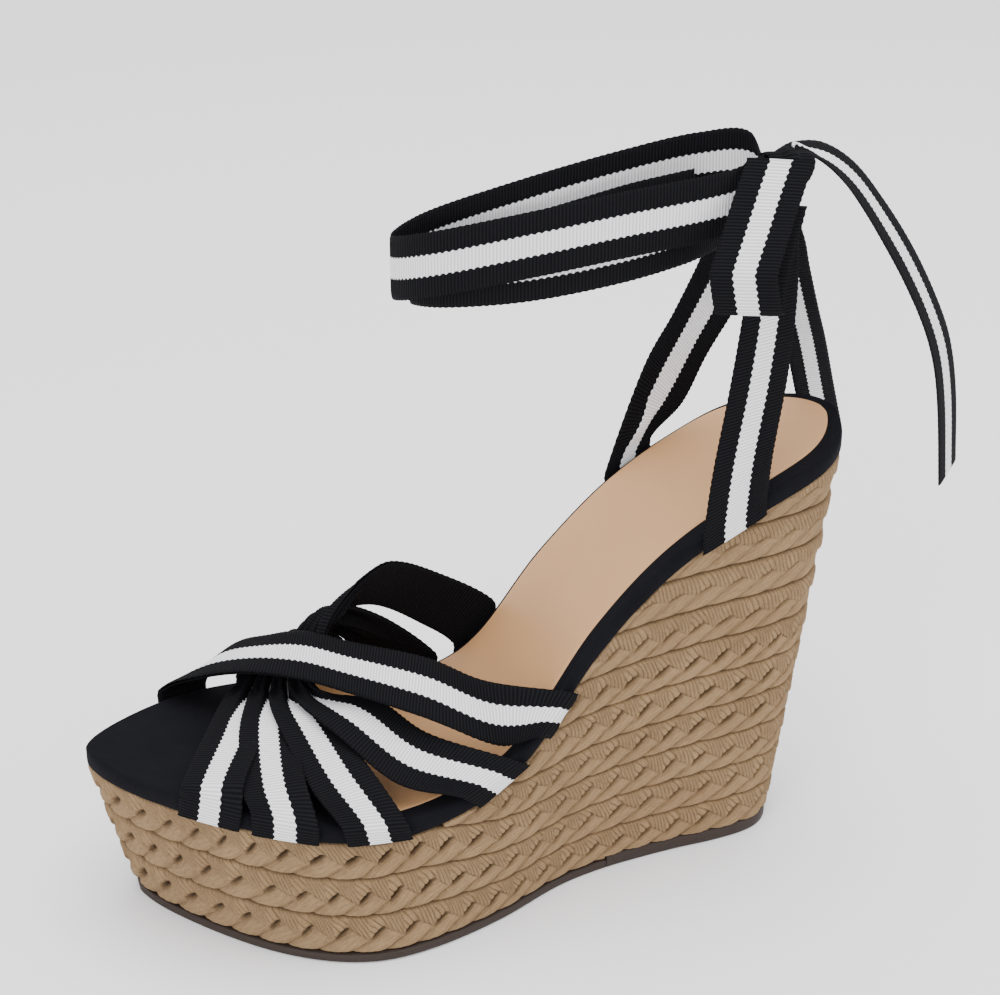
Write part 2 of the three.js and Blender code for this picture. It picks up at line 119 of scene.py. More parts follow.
def wall(f, side, z):
    # the side wall, ruled from the ground edge (z 0) to the rim's underside
    t = z / underRim(f)
    groundX = shoe["toeX"] + shoe["toeTuck"] + (shoe["length"] - shoe["toeTuck"] - shoe["heelTuck"]) * f
    tuck = np.where(side < 0, lateralTuck(f), -shoe["medialTuck"])
    y = edgeY(f, side) + tuck * opening(f) * (1 - t)
    return np.stack([groundX + (soleX(f) - groundX) * t, y, z + 0 * f], -1)


def unit(a):
    return a / np.maximum(np.linalg.norm(a, axis=-1, keepdims=True), 1e-9)


def makePiece(name, points, quads, uv, shade=None):
    # A closed mesh from points in millimetres. Its volume is the sum of a . (b x c) over its triangles, and a
    # negative one means that the faces point inwards and are turned round.
    verts = np.asarray(points, float).reshape(-1, 3)
    a, b, c, d = (verts[quads[:, k]] for k in range(4))
    volume = np.sum(a * np.cross(b, c)) + np.sum(a * np.cross(c, d))
    if volume < 0:
        quads = quads[:, ::-1]
    mesh = bpy.data.meshes.new(name)
    mesh.vertices.add(len(verts))
    mesh.vertices.foreach_set("co", (verts * mm).ravel())
    loops = quads.ravel()
    mesh.loops.add(len(loops))
    mesh.loops.foreach_set("vertex_index", loops)
    mesh.polygons.add(len(quads))
    mesh.polygons.foreach_set("loop_start", np.arange(len(quads)) * 4)
    mesh.update(calc_edges=True)
    mesh.polygons.foreach_set("use_smooth", np.full(len(quads), True))
    layer = mesh.uv_layers.new(name="weave")
    layer.data.foreach_set("uv", np.asarray(uv, float).reshape(-1, 2)[loops].ravel())
    if shade is not None:
        layer = mesh.attributes.new("shade", "FLOAT", "POINT")
        layer.data.foreach_set("value", np.asarray(shade, float).ravel())
    mesh.validate()
    piece = bpy.data.objects.new(name, mesh)
    bpy.context.scene.collection.objects.link(piece)
    return piece


def loopFaces(rows, around, closedRows=False):
    # quads of a grid whose second direction closes on itself; ends capped unless the rows close too
    i = np.arange(rows if closedRows else rows - 1)
    j = np.arange(around)
    a = i[:, None] * around + j
    b = i[:, None] * around + (j + 1) % around
    step = ((i + 1) % rows)[:, None] * around
    quads = np.stack([a, b, step + (j + 1) % around, step + j], -1).reshape(-1, 4)
    if closedRows:
        return quads
    k = np.arange(around // 2 - 1)  # caps: quads between the two halves of the loop
    cap = np.stack([k, k + 1, around - 2 - k, around - 1 - k], -1)
    return np.concatenate([quads, cap[:, ::-1], cap + (rows - 1) * around])


class Socket:
    # a node socket whose sums, products and powers with other sockets or numbers are Math nodes
    def __init__(self, tree, link):
        self.tree, self.link = tree, link

    def node(self, kind, settings=None, out=0, **values):
        n = self.tree.nodes.new(kind)
        for key, value in (settings or {}).items():
            setattr(n, key, value)
        for key, value in values.items():
            numbered = key[0] == "i" and key[1:].isdigit()
            target = n.inputs[int(key[1:]) if numbered else key.replace("_", " ")]
            if isinstance(value, Socket):
                self.tree.links.new(value.link, target)
            else:
                target.default_value = value
        return Socket(self.tree, n.outputs[out])

    def math(self, operation, *values):
        numbered = {f"i{k}": value for k, value in enumerate(values)}
        return self.node("ShaderNodeMath", {"operation": operation}, **numbered)

    def __add__(self, other):
        return self.math("ADD", self, other)

    def __radd__(self, other):
        return self.math("ADD", other, self)

    def __sub__(self, other):
        return self.math("SUBTRACT", self, other)

    def __rsub__(self, other):
        return self.math("SUBTRACT", other, self)

    def __mul__(self, other):
        return self.math("MULTIPLY", self, other)

    def __rmul__(self, other):
        return self.math("MULTIPLY", other, self)

    def __pow__(self, other):
        return self.math("POWER", self, other)

    def clamp(self, low=0.0, high=1.0):
        return self.math("MINIMUM", self.math("MAXIMUM", self, low), high)

    def mix(self, a, b):
        # colour a where this value is 0, b where it is 1
        return self.node("ShaderNodeMix", {"data_type": "RGBA"}, out=2, i0=self, i6=a, i7=b)

    def noise(self, vector, scale, detail=2.0, roughness=0.55):
        return self.node("ShaderNodeTexNoise", Vector=vector, Scale=scale, Detail=detail, Roughness=roughness)

    def stretch(self, vector, scale):
        return self.node("ShaderNodeVectorMath", {"operation": "MULTIPLY"}, i0=vector, i1=scale)

    def bump(self, height, distance, strength=1.0):
        return self.node("ShaderNodeBump", Height=height, Distance=distance, Strength=strength)


def newMaterial(name, constants):
    m = bpy.data.materials.new(name)
    m.use_nodes = True
    shader = m.node_tree.nodes["Principled BSDF"]
    for key, value in constants.items():
        shader.inputs[key].default_value = value
    s = Socket(m.node_tree, None)

    def feed(**links):
        for key, value in links.items():
            m.node_tree.links.new(value.link, shader.inputs[key.replace("_", " ")])
    return m, s, feed


def objectPlace(s):
    return s.node("ShaderNodeTexCoord", out="Object")


def weave(s):
    # the piece's own map: along and across its yarns
    return s.node("ShaderNodeUVMap")


def juteMaterial():
    # twisted jute: hair-fine fibres along each yarn, with painted shade that makes the gaps darker and browner
    m, s, feed = newMaterial("jute", {
        "Specular IOR Level": 0.12, "Sheen Weight": 0.12, "Sheen Roughness": 0.5,
        "Sheen Tint": (0.9, 0.75, 0.55, 1),
    })
    where, uv = objectPlace(s), weave(s)
    # depth holds the shade attribute, painted light from the plait: painted shade in the slits, along the row
    # seams and on the row backs, painted highlight on the lobes
    depth = s.node("ShaderNodeAttribute", {"attribute_name": "shade"}, out="Fac")
    fibre = s.noise(s.stretch(uv, (0.35, 4.2, 1)), 1.0, 6.0, 0.75)
    fuzz = s.noise(s.stretch(uv, (1.6, 6.0, 1)), 1.0, 4.0, 0.7)
    patch = s.noise(where, 60.0, 3.0, 0.6)
    tone = (fibre * 1.5 + fuzz * 0.8 + patch * 0.4 - 0.85).clamp()
    straw = tone.mix((0.20, 0.113, 0.050, 1), (0.76, 0.505, 0.265, 1))
    redder = ((s.noise(where, 25.0, 2.0) - 0.55) * 3.0).clamp() * 0.3
    straw = redder.mix(straw, (0.42, 0.225, 0.11, 1))
    hair = ((fuzz - 0.62) * 6.0).clamp() * 0.35  # stray pale fibres
    straw = hair.mix(straw, (0.76, 0.57, 0.36, 1))
    # painted shade: a low shade value turns the colour toward near-black brown
    colour = (depth ** 0.8).clamp().mix((0.05, 0.022, 0.008, 1), straw)
    feed(Base_Color=colour, Roughness=0.72 + fibre * 0.2,
         Normal=s.bump(fibre * 0.9 + fuzz * 1.1, 0.0012, 1.0))
    return m


def grosgrainMaterial(name, stripe=True):
    # ribbed ribbon: weft ribs across, fine warp grain, scalloped border between the black and the white,
    # painted shade in the rib hollows
    m, s, feed = newMaterial(name, {"Specular IOR Level": 0.04})
    uv = weave(s)
    along = s.node("ShaderNodeSeparateXYZ", out="X", Vector=uv)
    across = s.node("ShaderNodeSeparateXYZ", out="Y", Vector=uv)
    rib = s.math("COSINE", along * (2 * math.pi))
    warp = s.noise(s.stretch(uv, (1.2, 70.0, 1)), 1.0, 2.0, 0.5)
    grain = s.noise(s.stretch(uv, (6.0, 60.0, 1)), 1.0, 2.0)
    reach = s.math("ABSOLUTE", across - 0.5)
    tooth = s.math("COSINE", along * math.pi)  # one scallop to every two ribs
    halfWhite, sharpness = 0.166, 160.0  # the white takes the middle third of the width
    white = ((halfWhite + tooth * 0.012 + (grain - 0.5) * 0.006 - reach) * sharpness).clamp()
    # painted shade and highlight: the colour darkens in each rib's hollow and lightens on its crest; the warp
    # noise is the yarn's own tone
    blackRibShadeAndYarn = (rib * 0.3 + 0.45 + (warp - 0.5) * 0.5).clamp()
    black = blackRibShadeAndYarn.mix((0.002, 0.002, 0.0025, 1), (0.011, 0.011, 0.013, 1))
    paleRibShadeAndYarn = (rib * 0.45 + 0.6 + (warp - 0.5) * 0.35).clamp()
    pale = paleRibShadeAndYarn.mix((0.50, 0.50, 0.52, 1), (0.86, 0.86, 0.875, 1))
    colour = white.mix(black, pale) if stripe else black
    feed(Base_Color=colour, Roughness=0.62 + grain * 0.2,
         Normal=s.bump(rib * 0.35 + warp * 0.3 + grain * 0.2, 0.0002, 0.7))
    return m


def fabricMaterial():
    # brushed black fabric over the footbed: fine nap, a soft sheen at the edges
    m, s, feed = newMaterial("black_fabric", {
        "Specular IOR Level": 0.05, "Sheen Weight": 0.01, "Sheen Roughness": 0.45,
        "Sheen Tint": (0.6, 0.62, 0.7, 1),
    })
    where = objectPlace(s)
    nap = s.noise(where, 2600.0, 2.0, 0.6)
    cloud = s.noise(where, 90.0, 3.0, 0.6)
    colour = (nap * 0.6 + cloud * 0.5).clamp().mix((0.0015, 0.0015, 0.002, 1), (0.009, 0.009, 0.012, 1))
    feed(Base_Color=colour, Roughness=0.78 + nap * 0.15, Normal=s.bump(nap, 0.0002, 0.5))
    return m


def leatherMaterial():
    # smooth tan sock: faint pores, a few streaks and slow changes of tone
    m, s, feed = newMaterial("leather", {"Specular IOR Level": 0.35})
    where = objectPlace(s)
    pores = s.node("ShaderNodeTexVoronoi", Vector=where, Scale=1500.0)
    cloud = s.noise(where, 22.0, 4.0, 0.55)
    streak = s.noise(s.stretch(where, (300.0, 1400.0, 400.0)), 1.0, 3.0)
    colour = (cloud * 1.1 - 0.1).clamp().mix((0.44, 0.235, 0.102, 1), (0.55, 0.312, 0.15, 1))
    colour = (streak * 0.25).clamp().mix(colour, (0.49, 0.268, 0.125, 1))
    feed(Base_Color=colour, Roughness=0.40 + cloud * 0.16,
         Normal=s.bump(pores * 0.5 + streak * 0.3, 0.00012, 0.5))
    return m


def rubberMaterial():
    # moulded brown rubber with a faint grain and scuffs
    m, s, feed = newMaterial("rubber", {"Specular IOR Level": 0.35})
    where = objectPlace(s)
    grain = s.noise(where, 900.0, 3.0, 0.6)
    scuff = s.noise(s.stretch(where, (60.0, 60.0, 700.0)), 1.0, 4.0, 0.6)
    colour = (grain * 0.4 + scuff * 0.6).clamp().mix((0.013, 0.007, 0.005, 1), (0.035, 0.021, 0.015, 1))
    feed(Base_Color=colour, Roughness=0.5 + scuff * 0.25,
         Normal=s.bump(grain * 0.5 + scuff * 0.5, 0.0003, 0.6))
    return m


def plainMaterial(name, dark, light, scale):
    # hidden board, core and foam: a speckle of two tones
    m, s, feed = newMaterial(name, {"Specular IOR Level": 0.2})
    speck = s.noise(objectPlace(s), scale, 4.0, 0.6)
    feed(Base_Color=speck.mix(dark, light), Roughness=0.8 + speck * 0.1, Normal=s.bump(speck, 0.0004, 0.6))
    return m


jute = juteMaterial()
grosgrain = grosgrainMaterial("grosgrain")
liningCloth = grosgrainMaterial("lining", stripe=False)
blackFabric = fabricMaterial()
tanLeather = leatherMaterial()
brownRubber = rubberMaterial()
boardStock = plainMaterial("board", (0.34, 0.26, 0.17, 1), (0.50, 0.41, 0.29, 1), 500.0)
foamStock = plainMaterial("foam", (0.60, 0.52, 0.38, 1), (0.74, 0.67, 0.52, 1), 1200.0)
print("materials made")


def finishPiece(piece, material, body, slot, *nodes):
    piece.data.materials.append(material)
    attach(piece, body)
    if nodes:
        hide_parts(*nodes)
    return piece


braid = {
    "lobe": 9.0,  # length of one strand lobe along the row
    "step": 0.27, "across": 42,  # mesh spacing along a row, and points over its height
    "depth": 3.6, "sink": 1.9,  # back of a row behind the wall, and how deep its lowest relief lies
    "parting": 6.0, "tooth": 3.2, "slitShare": 0.48,
    "yarnPitch": 1.3, "upLean": 0.38, "yarnHeight": 1.9, "yarnTurn": 1.9,
    "cordPitch": 1.5, "lowLean": math.radians(36), "strandStart": 0.62,
    "slitWidth": 0.4, "slitDepth": 1.6,
    "seam": 1.5, "seamDepth": 0.7,  # how far each edge of a row rounds off
    "tightFrom": 62.0, "tightOver": 25.0,  # the heel's upper rows are pulled tight
    "clearance": 0.5, "leastStart": 1.2,  # room under the rim, and the height a heel row starts with
}


def rowEdge(k, f):
    # Height of the edge between row k - 1 and row k. The whole rows stretch to fill the raised toe; behind the
    # waist the edges climb a little towards the heel.
    base = shoe["soleThickness"] + shoe["gap"]
    stack = shoe["braidPitch"] * shoe["wholeRows"]
    bend = np.clip((f - shoe["dip"]) / (shoe["waistEnd"] - shoe["dip"]), 0, 1)
    bend = bend * bend * (3 - 2 * bend)
    fill = np.maximum(1, (underRim(np.minimum(f, shoe["dip"])) - base) / stack)
    stretch = fill + (1 - fill) * bend if k <= shoe["wholeRows"] else 1.0
    slope = shoe["climb"] * bend * min(1, k / shoe["firstFullClimb"]) * np.maximum(0, shoe["levelShare"] - f)
    return base + shoe["braidPitch"] * k * stretch - slope


def quarterRound(t):
    return np.sqrt(np.maximum(1 - (1 - t) ** 2, 0))


def halfRound(t):
    # over t from 0 to 1 and repeating
    t = t - np.floor(t)
    return np.sqrt(np.maximum(1 - (2 * t - 1) ** 2, 0))


def lot(index, rate, phase):
    # a fixed number from 0 to 1 for each whole number
    return 0.5 + 0.5 * np.sin(index * rate + phase)


def plaitRelief(along, y, seed, tight):
    # Height of the plait over its back, and how lit it is, at a place along the row and y above its lower edge.
    # A sawtooth parting runs along the row. On its rising flanks a slit opens between two strands. Above it lie
    # steep short yarns, one plump lobe to each tooth; below it long strands slant up to the next slit.
    lobe = braid["lobe"]
    wandered = along + (0.9 * np.sin(along / 23.0 + seed) + 0.5 * np.sin(along / 9.1 + 2 * seed))
    place = wandered / lobe
    index = np.floor(place)
    part = place - index
    chance = lot(index, 12.9898, seed * 4.1)
    rising = braid["slitShare"] + 0.1 * (chance - 0.5)
    saw = np.where(part < rising, part / rising, 1 - (part - rising) / (1 - rising))
    amplitude = braid["tooth"] * (0.8 + 0.4 * lot(index, 7.233, seed * 2.3)) * (1 - 0.55 * tight)
    parting = braid["parting"] + 0.35 * np.sin(along / 31.0 + seed) + amplitude * (saw - 0.5)
    above = y - parting
    # distance from the slit on the rising flank, and how open the slit is
    fromSlit = np.abs(above) * np.cos(np.arctan2(amplitude, rising * lobe))
    onFlank = np.clip(np.minimum(part, rising - part) / (0.3 * rising), 0, 1) ** 0.5
    slit = onFlank * (0.7 + 0.3 * chance) * (1 - 0.6 * tight)

    # upper yarns: steep, bowed, each with its own groove, swelling over a lobe and turning in at the slit
    upAcross = wandered + above * braid["upLean"] + 0.10 * above**2 / 6
    yarn = upAcross / braid["yarnPitch"] + 0.15 * np.sin(index * 3.1 + seed)
    yarn = yarn + 0.22 * np.sin(along / 2.9 + 2 * seed) + 0.16 * np.sin(y / 1.4 + along / 6.3)
    upGroove = np.abs(np.sin(np.pi * yarn))
    plump = halfRound((wandered + above * braid["upLean"] * 0.6) / lobe - rising)
    fade = np.clip(1 - above / 7.0, 0.1, 1)
    turnIn = 1 - (1 - quarterRound(np.clip(above / braid["yarnTurn"], 0, 1))) * (0.3 + 0.7 * slit)
    swell = braid["yarnHeight"] + 0.75 * (plump - 0.6) * fade + 0.15 * lot(np.floor(yarn), 5.17, seed)
    up = turnIn * swell + 0.5 * np.clip(upGroove, 0, 0.8) - 0.4

    # lower strands: long, slanting, of a few loose cords each, level with the upper yarns away from the slits
    lean = braid["lowLean"]
    lowAcross = wandered * np.sin(lean) - y * np.cos(lean)
    strand = halfRound((wandered - y / np.tan(lean)) / lobe + braid["strandStart"])
    twist = 0.35 * np.sin(along / 4.3 + y / 2.1 + seed)
    cord = np.abs(np.sin(np.pi * (lowAcross / braid["cordPitch"] + twist)))
    low = 0.55 + (1.25 - 0.6 * tight) * strand + 0.18 * np.clip(cord, 0, 0.8)
    meet = np.clip(1 + above / 2.6, 0, 1) ** 1.5 * (1 - slit) * 0.75
    low = low + meet * (1.65 - low)

    onTop = above > 0
    gap = np.exp(-(fromSlit / (braid["slitWidth"] * (1 + slit))) ** 2) * (0.35 + 0.65 * slit)
    height = np.where(onTop, np.maximum(up, 0.3), low) - braid["slitDepth"] * gap * slit - 0.2 * gap
    grooveLit = np.where(onTop, np.clip(0.2 + upGroove * 1.5, 0, 1), np.clip(0.68 + cord * 0.6, 0, 1))
    bodyLit = np.where(onTop, 0.72 + 0.28 * plump * fade + 0.1 * (1 - fade), 0.6 + 0.4 * strand)
    lit = (0.25 + 0.75 * grooveLit) * bodyLit
    lit = lit * (1 - np.clip(1.35 * gap * (0.15 + 0.85 * slit), 0, 0.97))
    fibreAlong = np.where(onTop, y - 0.3 * along, along * np.cos(lean) + y * np.sin(lean))
    fibreAcross = np.where(onTop, upAcross, lowAcross)
    return height, np.clip(lit, 0, 1), fibreAlong, fibreAcross


def lapShare(s):
    # One lap of the wall: s 0 at the toe, 0.5 at the heel, the lateral side first.
    return (1 - np.cos(2 * np.pi * s)) / 2


def lapSide(s):
    return np.where(np.sin(2 * np.pi * s) >= 0, -1.0, 1.0)


def braidRow(k):
    # The wall between two row edges, moved out along its own normal by the plait's relief, with a plain back
    # a set depth behind it. A whole row closes on itself; a heel row starts and ends where the rim clears it.
    last = k == shoe["wholeRows"] + shoe["heelRows"] - 1
    whole = k < shoe["wholeRows"]
    pitch, clearance = shoe["braidPitch"], braid["clearance"]
    fine = np.linspace(0, 1, 4001)
    if not whole:
        place = np.linspace(shoe["dip"], 1, len(fine))
        start = place[np.argmax(underRim(place) - clearance - rowEdge(k, place) > braid["leastStart"])]
        s0 = math.acos(1 - 2 * start) / (2 * math.pi)
        fine = s0 + (1 - 2 * s0) * fine
    f = lapShare(fine)
    middle = wall(f, lapSide(fine), np.minimum(rowEdge(k, f) + pitch / 2, underRim(f) - clearance))
    length = np.concatenate([[0], np.cumsum(np.linalg.norm(np.diff(middle, axis=0), axis=1))])
    lobes = max(1, round(length[-1] / braid["lobe"]))
    along = np.linspace(0, length[-1], int(length[-1] / braid["step"]), endpoint=not whole)
    s = np.interp(along, length, fine)
    f = lapShare(s)[:, None]
    side = lapSide(s)[:, None]
    w = np.linspace(0, 1, braid["across"])[None, :]
    low = rowEdge(k, f) + 0.05
    if k == 0:
        low = np.where(f > shoe["liftFront"] - 0.003, shoe["liftThickness"] + shoe["gap"], low)
    full = rowEdge(k + 1, f) - rowEdge(k, f)
    high = underRim(f) - 0.1 if last else np.minimum(rowEdge(k + 1, f), underRim(f) - clearance)
    z = low + (high - low) * w
    face = wall(f + 0 * z, side + 0 * z, z)
    y = (z - rowEdge(k, f)) / full * pitch
    if last:
        y = np.minimum(y, pitch)
    scaled = along[:, None] * lobes * braid["lobe"] / length[-1] + 0 * z
    tight = np.clip((z - braid["tightFrom"]) / braid["tightOver"], 0, 1)
    relief, lit, fibreAlong, fibreAcross = plaitRelief(scaled, y, k * 1.7 + 0.4, tight)
    seam = quarterRound(np.clip(np.minimum(y, pitch - y) / braid["seam"], 0, 1))
    relief = relief * (0.6 + 0.4 * seam) - braid["seamDepth"] * (1 - seam)
    lit = lit * (0.4 + 0.6 * np.clip(seam * 1.25, 0, 1))
    forward = np.roll(face, -1, 0) - np.roll(face, 1, 0) if whole else np.gradient(face, axis=0)
    outward = unit(np.cross(forward, np.gradient(face, axis=1)))
    fromCentre = face - np.array([soleX(0.5), 0, 0])
    outward = outward * np.sign(np.median(np.sign(np.einsum("ijk,ijk->ij", outward, fromCentre))))
    skin = face + outward * (relief - braid["sink"])[..., None]
    level = outward * np.array([1, 1, 0])
    back = face[:, [-1, 0]] - unit(level[:, [-1, 0]]) * braid["depth"]
    grid = np.concatenate([skin, back], 1)
    uv = np.stack([fibreAlong, fibreAcross], -1)
    uv = np.concatenate([uv, uv[:, [-1, 0]]], 1)
    shade = np.concatenate([lit, 0 * lit[:, :2]], 1)
    faces = loopFaces(len(grid), grid.shape[1], closedRows=whole)
    piece = makePiece(f"plait_{k + 1:02d}", grid, faces, uv, shade)
    return finishPiece(piece, jute, "root", "jute", f"braid_row_{k + 1:02d}")


for rowNumber in range(shoe["wholeRows"] + shoe["heelRows"]):
    braidRow(rowNumber)
print("braid rows made")


def slab(name, start, end, ring, steps=260):
    # A closed section carried from one share of the length to another, its steps closer at the ends.
    # ring(f) gives the points of each section's loop.
    ease = (1 - np.cos(np.linspace(0, np.pi, steps))) / 2
    f = (start + (end - start) * ease)[:, None]
    grid = ring(f)
    return makePiece(name, grid, loopFaces(len(grid), grid.shape[1]), grid[..., :2])


sole = {"bevel": 0.5, "drawnIn": 0.988, "across": 25, "tipGap": 0.003, "liftGap": 0.0015, "heelEnd": 0.998}


def soleRing(thickness):
    # flat plate cut to the ground edge, its top and underside drawn in by the bevel
    bevel, count = sole["bevel"], sole["across"]
    v = np.linspace(-1, 1, count)
    side = np.concatenate([v, [1, 1], v[::-1], [-1, -1]])[None, :]
    height = np.concatenate([np.full(count, thickness), [thickness - bevel, bevel],
                             np.full(count, 0.0), [bevel, thickness - bevel]])
    pull = np.where((height == 0) | (height == thickness), sole["drawnIn"], 1.0)

    def ring(f):
        left = wall(f, -1 + 0 * f, 0 * f)
        right = wall(f, 1 + 0 * f, 0 * f)
        p = left + (right - left) * ((side * pull + 1) / 2)[..., None]
        p[..., 2] = height
        return p
    return ring


outsole = slab("outsole_rubber", sole["tipGap"], shoe["liftFront"], soleRing(shoe["soleThickness"]))
finishPiece(outsole, brownRubber, "root", "rubber", "outsole")
heelLift = slab("heel_lift_rubber", shoe["liftFront"] + sole["liftGap"], sole["heelEnd"],
                soleRing(shoe["liftThickness"]))
finishPiece(heelLift, brownRubber, "root", "rubber", "heel_lift")

footbed = {"shoulder": 2.0, "lip": 0.4, "across": 60, "steps": 420, "ends": (0.0008, 0.9992)}
sock = {"top": 0.35, "bottom": -0.6, "edge": 0.45, "crown": 0.1, "inside": 0.2, "heelEnd": 0.9985}


def padRing(top, bottom, insets, radius, crown=0.0):
    # A wrapped board's section: flat or crowned top, rounded shoulders of the given radius, flat underside.
    # The insets are for the lateral side, the medial side and the ends.
    turn = np.linspace(0, np.pi / 2, 9)

    def ring(f):
        endShare = insets[2] / shoe["length"]
        full = np.clip((f - endShare) / (1 - 2 * endShare), 0.0002, 0.9998)
        left, right = edgeY(full, -1.0, insets[0]), edgeY(full, 1.0, insets[1])
        half, middle = (right - left) / 2, (right + left) / 2
        r = np.minimum(radius, half)
        lip, under = footbed["lip"], bottom - top
        v = np.linspace(-1, 1, footbed["across"])[None, :]
        topY = v * (half - r)
        shoulder = half - r + np.sin(turn)[None, :] * r
        fall = -(1 - np.cos(turn))[None, :] * radius + 0 * f
        level = 0 * f + under
        y = np.concatenate([topY, shoulder, half, half - lip, -topY * 0.99, lip - half, -half,
                            -shoulder[:, ::-1]], 1)
        z = np.concatenate([crown * (1 - v**2) + 0 * topY, fall, level + lip, level, 0 * topY + under,
                            level, level + lip, fall[:, ::-1]], 1)
        return np.stack([soleX(f) + 0 * y, middle + y, footbedTop(f) + top + z], -1)
    return ring


wrapRing = padRing(0, -shoe["rimHeight"], (0, 0, 0), footbed["shoulder"])
finishPiece(slab("footbed_wrap", *footbed["ends"], wrapRing, footbed["steps"]),
            blackFabric, "root", "black_fabric", "footbed_cover")
sockInsets = [shoe[rim] + sock["inside"] for rim in ("rimWidth", "medialRim", "heelRim")]
sockRing = padRing(sock["top"], sock["bottom"], sockInsets, sock["edge"], sock["crown"])
sockEnd = sock["heelEnd"] - sockInsets[2] / shoe["length"]
finishPiece(slab("sock", shoe["sockFront"], sockEnd, sockRing, footbed["steps"]),
            tanLeather, "root", "leather", "sock_lining")
for node, stock in (("wedge_core", boardStock), ("insole_board", boardStock), ("foam_cushion", foamStock)):
    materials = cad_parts[node].data.materials
    materials.clear()
    materials.append(stock)
print("soles and footbed made")

ribbon = {
    "width": 17.5, "thickness": 0.75, "rib": 0.9, "ribDepth": 0.06, "scallop": 0.011,
    "pleats": 3.5, "pleatStart": 13.0,  # a ribbon gathered narrower than this folds into pleats
    "closeStart": 15.0, "closeOver": 4.5, "foldDepth": 2.2,  # and its white middle folds away
    "across": 17, "acrossGathered": 41, "step": 0.225, "standOff": 1.2,
    "liningDrop": 0.75, "liningThickness": 0.5, "liningTrim": 0.985,
}
underEdge = shoe["rimHeight"] - shoe["gap"]  # a strap end reaches down to the rim's lower edge


def across(centre, direction, width=ribbon["width"]):
    reach = unit(np.array(direction, float)) * width / 2
    return np.array([centre - reach, centre + reach])


def over(f, y, h):
    # a place over the footbed: share of the length, y and height above the footbed there
    return np.array([soleX(f), y, float(footbedTop(f)) + h])


def ankle(x, y, h):
    # a place round the ankle: x from the heel's back, y and height above the heel's top
    return np.array([shoe["toeX"] + shoe["length"] + x, y, shoe["heelHeight"] + h])


def onRim(start, end, side, drop, off=ribbon["standOff"]):
    # a section on the outside of the rim, from one share of the length to another
    edges = []
    for f in (start, end):
        d = np.array([0.01 * shoe["length"], float(edgeY(f + 0.005, side) - edgeY(f - 0.005, side))])
        out = np.array([-d[1], d[0], 0]) / np.hypot(*d) * side * off
        edges.append(np.array([soleX(f), float(edgeY(f, side)), float(footbedTop(f)) - drop]) + out)
    return np.array(edges)


def rimSpan(centre, side):
    # the stretch of rim that a ribbon covers, centred on one share of the length
    def at(f):
        return np.array([soleX(f), float(edgeY(f, side)), float(footbedTop(f))])

    def end(step):
        f = centre
        while np.linalg.norm(at(f) - at(centre)) < ribbon["width"] / 2:
            f += step
        return f
    return end(-0.0005), end(0.0005)


def ribbonSurface(sections, step):
    # Both edges run smoothly through the sections; returns the middle line, the half-width vectors,
    # the outward normals and the length along.
    sections = np.array(sections)
    middle = sections.mean(1)
    chord = np.concatenate([[0], np.cumsum(np.linalg.norm(np.diff(middle, axis=0), axis=1) ** 0.75)])
    edges = smoothCurve(np.concatenate([chord[:, None], sections.reshape(-1, 6)], 1))
    fine = edges(np.linspace(0, chord[-1], 3000)).reshape(-1, 2, 3)
    centre = fine.mean(1)
    length = np.concatenate([[0], np.cumsum(np.linalg.norm(np.diff(centre, axis=0), axis=1))])
    count = max(8, int(length[-1] / step))
    s = np.linspace(0, length[-1], count)
    pick = [np.interp(s, length, fine.reshape(-1, 6)[:, i]) for i in range(6)]
    both = np.stack(pick, -1).reshape(-1, 2, 3)
    centre, half = both.mean(1), (both[:, 1] - both[:, 0]) / 2
    forward = unit(np.gradient(centre, axis=0))
    out = -unit(np.cross(forward, half))
    return centre, half, out, s


def ribbonPiece(name, sections, material, body, slotName, node, lift=0.0, thick=ribbon["thickness"],
                held="stretched", trim=1.0, relief=1.0, outward=1.0):
    # The ribbon's cross-section is level where it is full width; gathered, it folds into pleats deep enough to
    # hold the width that the gather takes up, and the black edges close over the white middle. Ribs stand on
    # both faces, and its selvedges are lightly scalloped. outward -1 turns its face to the other side.
    centre, half, out, s = ribbonSurface(sections, ribbon["step"])
    width = 2 * np.linalg.norm(half, axis=-1)[:, None]
    v = np.linspace(-1, 1, ribbon["acrossGathered" if held == "gathered" else "across"])[None, :]
    fromMiddle = np.abs(v)
    spare = np.sqrt(np.maximum(ribbon["pleatStart"] ** 2 - width**2, 0)) / (2 * ribbon["pleats"])
    pleat = 0.5 * spare * np.cos(np.pi * ribbon["pleats"] * (v + 1) + 0.9)
    closing = np.clip((ribbon["closeStart"] - width) / ribbon["closeOver"], 0, 1)
    sunk = 1 - np.clip((fromMiddle - 0.28) / 0.22, 0, 1)
    pleat = pleat - ribbon["foldDepth"] * closing * sunk * sunk * (3 - 2 * sunk)
    closed = np.sign(v) * np.maximum(0.02 * fromMiddle, (fromMiddle - 0.33) / 0.67)
    ribs = np.cos(2 * np.pi * s / ribbon["rib"])[:, None]
    teeth = np.cos(np.pi * s / ribbon["rib"])[:, None]
    edge = fromMiddle**12
    spread = (v + (closed - v) * closing) * trim * (1 + ribbon["scallop"] * teeth * edge * relief)
    base = centre[:, None] + half[:, None] * spread[..., None]
    face = thick / 2 * (1 - 0.75 * fromMiddle**14) + ribbon["ribDepth"] * relief * ribs * (1 - edge)
    level = lift + pleat + thick / 2
    out = outward * out[:, None]
    top = base + out * (level + face)[..., None]
    under = base + out * (level - face)[..., None]
    grid = np.concatenate([top, under[:, ::-1]], 1)
    uv = np.stack([s[:, None] / ribbon["rib"] + 0 * v, (v + 1) / 2 + 0 * s[:, None]], -1)
    uv = np.concatenate([uv, uv[:, ::-1]], 1)
    piece = makePiece(name, grid, loopFaces(len(grid), grid.shape[1]), uv)
    finishPiece(piece, material, body, slotName, node)
    print(f"  {name}: {s[-1]:.0f} mm long")


